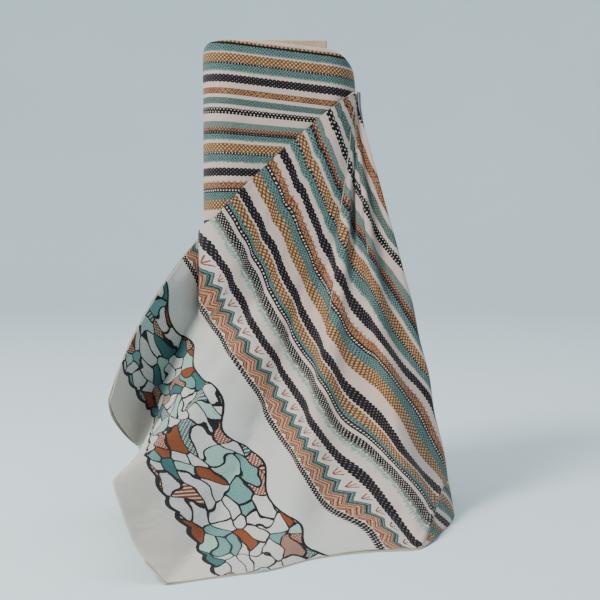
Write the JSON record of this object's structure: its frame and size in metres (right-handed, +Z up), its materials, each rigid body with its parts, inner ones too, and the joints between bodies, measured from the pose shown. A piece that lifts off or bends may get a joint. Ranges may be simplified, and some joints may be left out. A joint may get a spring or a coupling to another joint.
{
  "type": "embroidered linen fabric wound on a board",
  "caption": "Striped embroidered linen wound on a flat board, standing on end, with its free end folded on the slant and spread forward on the floor.",
  "frame": {"origin": "middle of the footprint, on the floor", "axes": "+Z up along the standing bolt, -Y towards the front where the free end spreads, +X to the viewer's right"},
  "size_m": [0.4894, 0.5682, 0.7018],
  "materials": {
    "board": "bare grey-beige board",
    "linen_layers": "plain woven linen, edges of the wound layers",
    "linen": "linen with woven and embroidered stripes in black, teal and orange"
  },
  "bodies": {
    "root": {"core_board": "board", "wound_layers": "linen_layers", "outer_wrap": "linen", "free_end": "linen", "folded_under_layer": "linen"}
  },
  "joints": []
}
